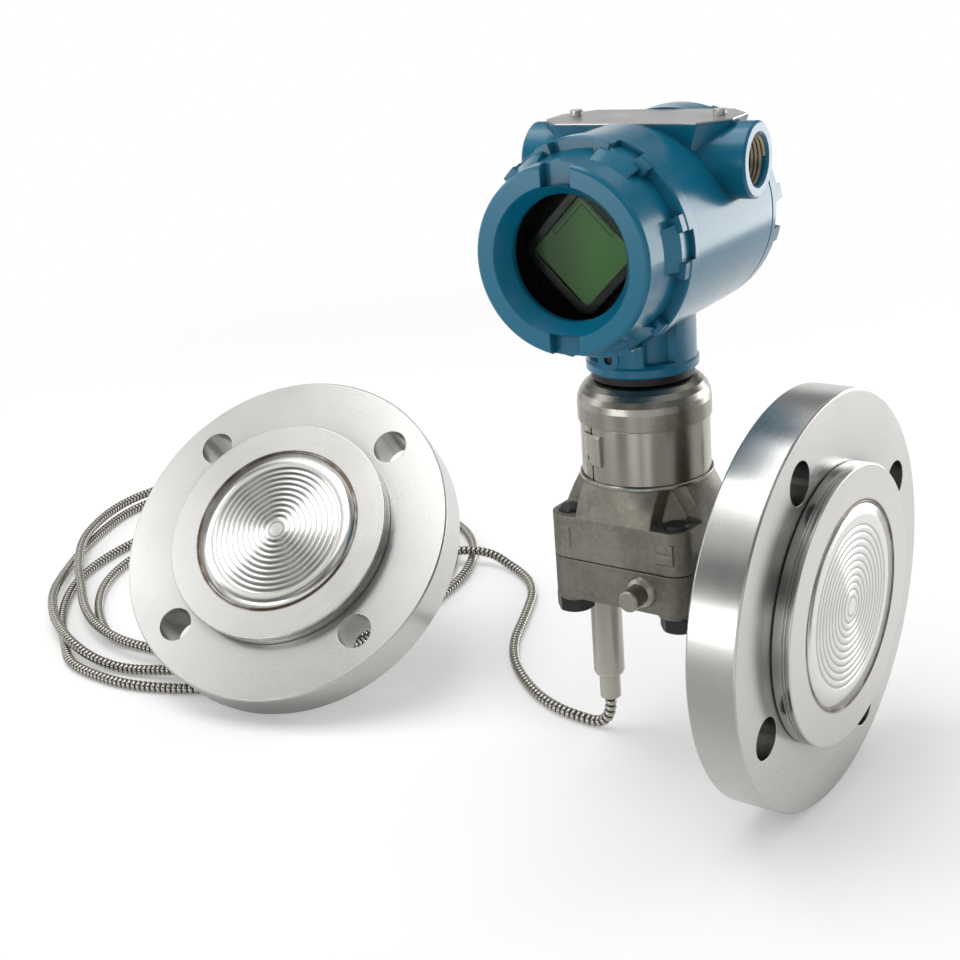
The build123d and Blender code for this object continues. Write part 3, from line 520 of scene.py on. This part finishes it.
def turned_mesh(name, profile, matrix, segments=128):
    """Closed skin turned about a piece's own Z from (radius, height) points."""
    form = bmesh.new()
    rows = []
    for radius, height in profile:
        if radius < 1e-7:
            rows.append([form.verts.new((0, 0, height))])
            continue
        row = []
        for index in range(segments):
            angle = 2 * math.pi * index / segments
            place = (radius * math.cos(angle), radius * math.sin(angle), height)
            row.append(form.verts.new(place))
        rows.append(row)
    for first, second in zip(rows, rows[1:]):
        for index in range(segments):
            following = (index + 1) % segments
            corners = [first[index % len(first)], first[following % len(first)],
                       second[following % len(second)], second[index % len(second)]]
            unique = []
            for corner in corners:
                if corner not in unique:
                    unique.append(corner)
            if len(unique) > 2:
                form.faces.new(unique)
    form.transform(matrix)
    bmesh.ops.recalc_face_normals(form, faces=form.faces)
    for face in form.faces:
        face.smooth = True
    mesh = bpy.data.meshes.new(name)
    form.to_mesh(mesh)
    form.free()
    return mesh


# Operators

class DressSteel(bpy.types.Operator):
    """Finish flanges, seal bodies, castings and turned parts in bare steel"""
    bl_idname = "transmitter.dress_steel"
    bl_label = "Dress steel parts"

    def execute(self, context):
        colours = context.scene.transmitter_colours
        steel = tuple(colours.steel)
        dress(lathe_steel("direct flange steel", DIRECT, shade(steel, 1.0), 0.26, 0.04), "direct_flange")
        dress(lathe_steel("remote flange steel", REMOTE, shade(steel, 1.02), 0.28, 0.03), "remote_flange")
        dress(lathe_steel("direct face steel", DIRECT, shade(steel, 1.05), 0.24, 0.05, True),
              "direct_seal_body", "direct_weld_ring")
        dress(lathe_steel("remote face steel", REMOTE, shade(steel, 1.1), 0.27, 0.05, True),
              "remote_seal_body", "remote_weld_ring")
        dress(lathe_steel("direct neck steel", DIRECT, shade(steel, 0.75), 0.3), "direct_neck")
        dress(lathe_steel("remote tube steel", REMOTE, shade(steel, 0.75), 0.3),
              "remote_support_tube", "remote_collar")
        low_side = MODULE @ Matrix.Translation((LOW_SIDE_X, 0, 0))
        dress(lathe_steel("low side steel", low_side, (0.43, 0.41, 0.36), 0.25, 0.03),
              "low_side_tube", "low_side_collar")
        dress(cast_steel("blasted casting", tuple(colours.casting)), "sensor_casting")
        dress(cast_steel("blasted block", shade(colours.casting, 0.84)), "process_block")
        dress(moulded("black bolting", (0.018, 0.019, 0.021), 0.34, 700.0),
              "block_bolts", "lock_screw")
        dress(plain_steel("fitting steel", (0.36, 0.345, 0.31), 0.34, 900.0, 0.3), "fill_stub")
        drawn = lathe_steel("drawn stainless", MODULE, (0.42, 0.405, 0.36), 0.2, 0.04)
        dress(drawn, "module_can", "label_band", "module_neck", "sensor_cell")
        # Painted shade: the cap is a darker copy of the drawn stainless.
        dress(lathe_steel("drawn cap", MODULE, (0.33, 0.32, 0.285), 0.27, 0.03), "module_cap")
        dress(plain_steel("clasp sheet", (0.50, 0.48, 0.44), 0.24, 900.0, 0.1), "band_clasp")
        dress(plain_steel("screw steel", shade(steel, 0.8), 0.25, 900.0, 0.1),
              "nameplate_screws", "board_posts", "display_spacers")
        brushed_along = (0.06, 1.0, 1.0)
        dress(plain_steel("satin plate", shade(steel, 0.9), 0.33, 1200.0, 0.12, brushed_along), "nameplate")
        return {"FINISHED"}


class DressHead(bpy.types.Operator):
    """Finish the painted head, its covers and what is inside it"""
    bl_idname = "transmitter.dress_head"
    bl_label = "Dress head"

    def execute(self, context):
        colours = context.scene.transmitter_colours
        dress(gloss_paint("gloss paint", tuple(colours.paint)), "housing", "front_cover", "rear_cover")
        rubber = tuple(colours.rubber)
        dress(moulded("seal rubber", rubber, 0.45), "neck_gasket", "front_cover_ring", "rear_cover_ring",
              "window_gasket", "process_rings", "window_retainer")
        dress(moulded("display plastic", rubber, 0.22, 1400.0, 0.0009),
              "display_bezel", "terminal_block", "sensor_connector")
        dress(clear_glass("window glass"), "cover_window")
        dress(screen_face("unlit screen", tuple(colours.screen)), "display_screen")
        dress(circuit("circuit board"), "electronics_board", "module_board")
        dress(plain_steel("terminal brass", (0.55, 0.42, 0.18), 0.3), "terminal_screws")
        return {"FINISHED"}


class MakeDiaphragms(bpy.types.Operator):
    """Press smooth concentric waves into both diaphragms"""
    bl_idname = "transmitter.make_diaphragms"
    bl_label = "Diaphragms"

    def execute(self, context):
        sizes = context.scene.transmitter_sizes
        steel = tuple(context.scene.transmitter_colours.steel)
        inner, outer, edge = 6.0 * MM, 38.0 * MM, 45.9 * MM
        back, rim = -0.9 * MM, -0.15 * MM
        step = (outer - inner) / sizes.wave_count
        profile = [(0.0, back), (edge, back), (edge, rim), (outer + step * 0.6, rim)]
        finest = 10
        for index in range(sizes.wave_count * finest + 1):
            radius = outer - index * step / finest
            phase = 2 * math.pi * (outer - radius) / step
            profile.append((radius, -sizes.wave_depth * (0.5 - 0.5 * math.cos(phase))))
        profile.append((0.0, 0.0))
        for name, matrix in (("direct_diaphragm", DIRECT), ("remote_diaphragm", REMOTE)):
            mesh = turned_mesh(name + "_skin", profile, matrix, 144)
            bright = lathe_steel(
                name.replace("_", " ") + " foil", matrix, shade(steel, 1.25), 0.2, 0.03,
                waves=(outer - step / 2, step))
            object_from(mesh, name + "_skin", bright, "transmitter", name)
        return {"FINISHED"}


# The hose's route in millimetres: first x, y, z, then x, y, layer along the floor
HOSE_LEVEL = -92.25
LAYER_RISE = 6.4
LEAD_ROUTE = [
    (-127.5, 0.0, -75.0), (-127.5, 0.0, -85.1), (-134.6, 0.0, HOSE_LEVEL),
]
FLOOR_ROUTE = [
    (-146, 0.3, 0), (-160, 2.2, 0), (-177, 8.6, 0), (-194, 20, 0), (-210, 34, 0), (-222, 49, 0),
    (-231, 65, 0), (-238, 82, 0), (-246, 100, 0), (-254, 117, 0), (-265, 131, 0), (-278, 141, 0),
    (-291, 146.5, 0.2), (-304, 149, 0.8), (-316, 148, 1), (-328, 143, 1), (-337, 134, 1),
    (-341, 119, 1), (-338, 100, 0.4), (-333, 80, 0), (-328.5, 55, 0), (-327, 30, 0), (-332, 5, 0),
    (-344, -17, 0), (-364, -34, 0), (-391, -43, 0), (-419, -45.5, 0), (-447, -48, 0), (-473, -35, 0),
    (-502, -11, 0), (-523, 16, 0), (-535, 48, 0), (-537, 85, 0), (-524, 124, 0), (-497, 155, 0),
    (-456, 174, 0), (-410, 176, 0), (-368, 162, 0), (-340, 141, 0), (-325, 112, 0), (-318, 75, 0),
    (-316, 35, 0), (-319, -5, 0), (-328, -42, 0), (-347, -68, 0), (-371, -79, 0), (-396, -86, 0),
    (-423, -86, 0), (-448, -82, 0), (-472, -64, 0), (-497, -46, 0), (-519, -24, 0), (-537, 0, 0),
    (-550, 28, 0), (-556, 62, 0), (-555, 100, 0), (-542, 140, 0), (-514, 175, 0), (-470, 199, 0),
    (-422, 205, 0), (-375, 199, 0), (-336, 172, 0), (-311, 130, 0), (-303, 85, 0), (-302, 45, 0),
    (-306, 5, 0.3), (-316, -28, 1), (-333, -49, 1), (-357, -60, 1), (-383, -66, 0.4), (-410, -73, 0),
    (-435, -75, 0.4), (-459, -70, 1), (-478, -61, 1), (-499, -49, 1), (-525, -28, 1), (-551, 1, 0.3),
    (-577, 39, 0), (-597, 80, 0), (-607, 112, 0), (-605, 145, 0), (-588, 177, 0), (-555, 204, 0),
    (-508, 220, 0), (-455, 223, 0.3), (-420, 216, 1), (-398, 204, 1), (-374, 188, 1), (-347, 163, 0.3),
    (-323, 128, 0), (-311, 90, 0), (-309, 52, 0), (-311, 18, 0.3), (-319, -9, 1), (-332, -30, 1),
    (-352, -43, 1), (-376, -51, 1), (-402, -55, 1), (-430, -56, 1), (-461, -48, 1), (-490, -32, 1),
    (-519, -9, 1), (-551, 16, 1), (-583, 48, 1), (-603, 85, 1), (-611, 117, 1), (-607, 150, 1),
    (-589, 179, 1), (-556, 196, 1), (-512, 200, 1), (-468, 191, 1), (-436, 178, 1), (-411, 167, 0.8),
    (-389, 155, 0.1), (-373.9, 136.9, 0), (-362.1, 117.8, 0), (-352.3, 97.5, 0), (-344.7, 76.4, 0),
    (-339.4, 54.5, 0),
]
TAIL_END = (-337.06, 44.92, -82.91)


def hose_points():
    """The hose's points in metres, from the block's tube to the remote seal's."""
    points = [Vector(point) * MM for point in LEAD_ROUTE]
    points += [Vector((x, y, HOSE_LEVEL + LAYER_RISE * layer)) * MM for x, y, layer in FLOOR_ROUTE]
    points.append(Vector(TAIL_END) * MM)
    return points


def hose_tree(material):
    """Geometry nodes that wind ridged armour round the hose's line."""
    tree = bpy.data.node_groups.new("Ridged armour", "GeometryNodeTree")
    hose = Nodes(tree)
    face = tree.interface
    face.new_socket("Geometry", in_out="INPUT", socket_type="NodeSocketGeometry")
    for name in ("Radius", "Pitch", "Groove"):
        face.new_socket(name, in_out="INPUT", socket_type="NodeSocketFloat")
    face.new_socket("Geometry", in_out="OUTPUT", socket_type="NodeSocketGeometry")
    start = tree.nodes.new("NodeGroupInput")
    line, radius, pitch, groove = (
        Wire(tree, start.outputs[name]) for name in ("Geometry", "Radius", "Pitch", "Groove"))
    steps = 6
    even = hose.add("GeometryNodeResampleCurve", {"mode": "LENGTH"}, Curve=line, Length=pitch / steps)
    wave = (hose.add("GeometryNodeInputIndex") * (2 * math.pi / steps)).cosine() * 0.5 + 0.5
    crest = 1.0 - (1.0 - wave) ** 2.4
    marked = hose.add(
        "GeometryNodeStoreNamedAttribute", {"data_type": "FLOAT", "domain": "POINT"},
        Geometry=even, Name="crest", Value=crest)
    section = hose.add("GeometryNodeCurvePrimitiveCircle", {"mode": "RADIUS"}, Resolution=12, Radius=1.0)
    skin = hose.add(
        "GeometryNodeCurveToMesh", Curve=marked, Profile_Curve=section, Fill_Caps=True,
        Scale=crest * groove + radius - groove)
    smooth = hose.add("GeometryNodeSetShadeSmooth", Geometry=skin)
    real = hose.add("GeometryNodeRealizeInstances", Geometry=smooth)
    coloured = hose.add("GeometryNodeSetMaterial", Geometry=real, Material=material)
    finish = tree.nodes.new("NodeGroupOutput")
    tree.links.new(coloured.socket, finish.inputs[0])
    return tree


class MakeCapillary(bpy.types.Operator):
    """Lay the armoured capillary from the block, through its coil, to the remote seal"""
    bl_idname = "transmitter.make_capillary"
    bl_label = "Armoured capillary"

    def execute(self, context):
        sizes = context.scene.transmitter_sizes
        points = hose_points()
        line = bpy.data.curves.new("capillary_line", "CURVE")
        line.dimensions = "3D"
        spline = line.splines.new("NURBS")
        spline.points.add(len(points) - 1)
        for point, place in zip(spline.points, points):
            point.co = (*place, 1.0)
        spline.order_u = 3
        spline.use_endpoint_u = True
        line.resolution_u = 12
        guide = bpy.data.objects.new("capillary_guide", line)
        context.scene.collection.objects.link(guide)
        context.view_layer.update()
        graph = context.evaluated_depsgraph_get()
        read = bpy.data.meshes.new_from_object(guide.evaluated_get(graph))
        material = armour_steel("armour strip", tuple(context.scene.transmitter_colours.armour))
        tree = hose_tree(material)
        modifier = guide.modifiers.new("Armour", "NODES")
        modifier.node_group = tree
        values = {"Radius": sizes.armour_diameter / 2, "Pitch": sizes.armour_pitch,
                  "Groove": sizes.armour_groove}
        for item in tree.interface.items_tree:
            if item.in_out == "INPUT" and item.name in values:
                modifier[item.identifier] = values[item.name]
        context.view_layer.update()
        graph = context.evaluated_depsgraph_get()
        mesh = bpy.data.meshes.new_from_object(guide.evaluated_get(graph), depsgraph=graph)
        guide.modifiers.remove(modifier)
        bpy.data.objects.remove(guide)
        mesh.name = "capillary_hose"
        hose = object_from(mesh, "capillary_hose", material, "transmitter",
                           "capillary_lead", "capillary_coil", "capillary_tail")
        return {"FINISHED"}


class MakeThreads(bpy.types.Operator):
    """Cut the thread seen in both conduit entries"""
    bl_idname = "transmitter.make_threads"
    bl_label = "Conduit threads"

    def execute(self, context):
        sizes = context.scene.transmitter_sizes
        metal = plain_steel("tapped aluminium", (0.34, 0.30, 0.21), 0.34, 900.0, 0.2)
        turns, segments = 8, 56
        half_pitch = sizes.thread_pitch / 2
        for name, side, bore in zip(("right_entry_thread", "left_entry_thread"), (1, -1), CONDUIT_BORES):
            root = bore - 0.05 * MM
            crest = root - THREAD_HEIGHT
            form = bmesh.new()
            rows = []
            for index in range(turns * segments + 1):
                angle = 2 * math.pi * index / segments
                along = THREAD_START - index / segments * sizes.thread_pitch
                ring = []
                for radius, shift in ((root, -half_pitch), (crest, 0.0), (root, half_pitch)):
                    place = (side * (along + shift), radius * math.cos(angle), radius * math.sin(angle))
                    ring.append(form.verts.new(place))
                rows.append(ring)
            for first, second in zip(rows, rows[1:]):
                for index in range(2):
                    form.faces.new((first[index], first[index + 1], second[index + 1], second[index]))
            bmesh.ops.recalc_face_normals(form, faces=form.faces)
            form.transform(HEAD @ Matrix.Translation(CONDUIT_PLACE))
            mesh = bpy.data.meshes.new(name)
            form.to_mesh(mesh)
            form.free()
            thread = object_from(mesh, name, metal, "housing_head")
        return {"FINISHED"}


# Studio

def make_floor(scene):
    """Pale floor that fades into the backdrop and keeps the object's shadow."""
    half = scene.transmitter_sizes.floor_size / 2
    height = FLOOR_Z - FLOOR_GAP
    form = bmesh.new()
    form.faces.new([form.verts.new((x, y, height)) for x, y in (
        (-half, -half), (half, -half), (half, half), (-half, half))])
    mesh = bpy.data.meshes.new("floor")
    form.to_mesh(mesh)
    form.free()
    floor = bpy.data.objects.new("floor", mesh)
    scene.collection.objects.link(floor)
    finish = Finish("pale floor")
    seen = finish.ray("Camera")
    shine = finish.ray("Glossy", "Transmission")
    x, y = finish.parts(finish.place(Matrix.Translation((-0.28, 0.05, FLOOR_Z))))[:2]
    # A grey card lies in front, seen only in the metal
    card = finish.ramp(y, -0.25, -0.05, 1.0, 0.0) * shine
    finish.set(Base_Color=finish.blend(card, (0.80, 0.80, 0.80), (0.30, 0.30, 0.30)), Roughness=0.9,
               Specular_IOR_Level=0.0)
    pale = Wire(finish.tree, finish.shader.outputs[0])
    glow = finish.add("ShaderNodeEmission", Color=(1, 1, 1, 1), Strength=0.22)
    lit = finish.add("ShaderNodeAddShader", n0=pale, n1=glow)
    base = finish.add("ShaderNodeMixShader", n0=(seen + shine).clamped(), n1=pale, n2=lit)
    far = (x * x + y * y).root()
    gone = finish.ramp(far, 0.55, 1.05) * seen + finish.ramp(far, 0.42, 0.62) * shine
    clear = finish.add("ShaderNodeBsdfTransparent", Color=(1, 1, 1, 1))
    fading = finish.add("ShaderNodeMixShader", n0=gone.clamped(), n1=base, n2=clear)
    finish.tree.links.new(fading.socket, finish.output.inputs["Surface"])
    mesh.materials.append(finish.material)


def make_world(scene):
    """White backdrop, with dark flags round it for the metal to show."""
    world = bpy.data.worlds.new("studio")
    scene.world = world
    world.use_nodes = True
    studio = Nodes(world.node_tree)
    output = studio.tree.nodes.new("ShaderNodeOutputWorld")
    x, y, z = studio.parts(studio.add("ShaderNodeTexCoord", outlet=0))
    streak = studio.noise(studio.join(x, y, 0.0), 2.3, 2.0, 0.5)
    flags = studio.ramp(streak, 0.40, 0.52, 0.22, 1.0)
    upper = studio.ramp(z, 0.16, 0.30) * studio.ramp(z, 0.5, 0.72, 1.0, 0.0)
    ceiling = studio.ramp(x, -0.46, -0.22) * studio.ramp(z, 0.60, 0.78)
    tone = flags * (1.0 - upper * 0.72) * (1.0 - ceiling * 0.55)
    behind = studio.ramp(y, 0.35, 0.7) * (1.0 - upper)
    tone = tone + (1.0 - tone) * behind
    white, black = (1.0, 1.0, 1.0), (0.0, 0.0, 0.0)
    seen = studio.ray("Camera")
    shine = studio.ray("Glossy", "Transmission")
    backdrop = studio.add("ShaderNodeBackground", n0=studio.blend(
        seen, studio.blend(tone, black, white), white), n1=1.0)
    soft = studio.add("ShaderNodeBackground", n0=(0.9, 0.9, 0.9, 1.0), n1=0.62)
    mix = studio.add("ShaderNodeMixShader", n0=(seen + shine).clamped(), n1=soft, n2=backdrop)
    studio.tree.links.new(mix.socket, output.inputs[0])


def make_lamps(scene):
    """Softboxes round the object."""
    for name, place, width, height, power in LAMPS:
        light = bpy.data.lights.new(name, "AREA")
        light.shape = "RECTANGLE"
        light.size = width
        light.size_y = height
        light.energy = power
        lamp = bpy.data.objects.new(name, light)
        lamp.location = place
        lamp.rotation_euler = (LAMP_AIM - Vector(place)).to_track_quat("-Z", "Y").to_euler()
        scene.collection.objects.link(lamp)


def make_camera(scene):
    """Camera at the photograph's place."""
    back = Vector((math.sin(VIEW_AZIMUTH) * math.cos(VIEW_ELEVATION),
                   -math.cos(VIEW_AZIMUTH) * math.cos(VIEW_ELEVATION),
                   math.sin(VIEW_ELEVATION)))
    right = (-back).cross(Vector((0, 0, 1))).normalized()
    down = (-back).cross(right)
    rolled_right = math.cos(VIEW_ROLL) * right + math.sin(VIEW_ROLL) * down
    rolled_down = -math.sin(VIEW_ROLL) * right + math.cos(VIEW_ROLL) * down
    matrix = Matrix((rolled_right, -rolled_down, back)).transposed().to_4x4()
    matrix.translation = VIEW_TARGET + back * VIEW_DISTANCE
    lens = bpy.data.cameras.new("camera")
    lens.sensor_width = FILM_WIDTH
    lens.sensor_fit = "HORIZONTAL"
    lens.lens = PICTURE_FOCAL * FILM_WIDTH / PICTURE_SIDE
    lens.shift_x = (PICTURE_SIDE / 2 - PICTURE_CENTRE[0]) / PICTURE_SIDE
    lens.shift_y = (PICTURE_CENTRE[1] - PICTURE_SIDE / 2) / PICTURE_SIDE
    lens.clip_start = 0.01
    camera = bpy.data.objects.new("camera", lens)
    camera.matrix_world = matrix
    scene.collection.objects.link(camera)
    scene.camera = camera


class SetStage(bpy.types.Operator):
    """Set the floor, the soft studio light and the camera"""
    bl_idname = "transmitter.set_stage"
    bl_label = "Studio"

    def execute(self, context):
        scene = context.scene
        make_floor(scene)
        make_world(scene)
        make_lamps(scene)
        make_camera(scene)
        scene.view_settings.view_transform = "Standard"
        return {"FINISHED"}


class TransmitterPanel(bpy.types.Panel):
    """Buttons and settings of the level transmitter"""
    bl_idname = "VIEW3D_PT_transmitter"
    bl_label = "Level transmitter"
    bl_space_type = "VIEW_3D"
    bl_region_type = "UI"
    bl_category = "Transmitter"

    def draw(self, context):
        for group in (context.scene.transmitter_sizes, context.scene.transmitter_colours):
            for name in group.__annotations__:
                self.layout.prop(group, name)
        for operator in OPERATORS:
            self.layout.operator(operator.bl_idname)


OPERATORS = (SetStage, MakeCapillary, DressSteel, DressHead, MakeDiaphragms, MakeThreads)
CLASSES = (TransmitterSizes, TransmitterColours) + OPERATORS + (TransmitterPanel,)


def register():
    for item in CLASSES:
        bpy.utils.register_class(item)
    bpy.types.Scene.transmitter_sizes = PointerProperty(type=TransmitterSizes)
    bpy.types.Scene.transmitter_colours = PointerProperty(type=TransmitterColours)


def unregister():
    del bpy.types.Scene.transmitter_colours
    del bpy.types.Scene.transmitter_sizes
    for item in reversed(CLASSES):
        bpy.utils.unregister_class(item)


def main():
    register()
    bpy.ops.transmitter.set_stage()
    bpy.ops.transmitter.make_capillary()
    bpy.ops.transmitter.dress_steel()
    bpy.ops.transmitter.dress_head()
    bpy.ops.transmitter.make_diaphragms()
    bpy.ops.transmitter.make_threads()


if __name__ == "__main__":
    main()
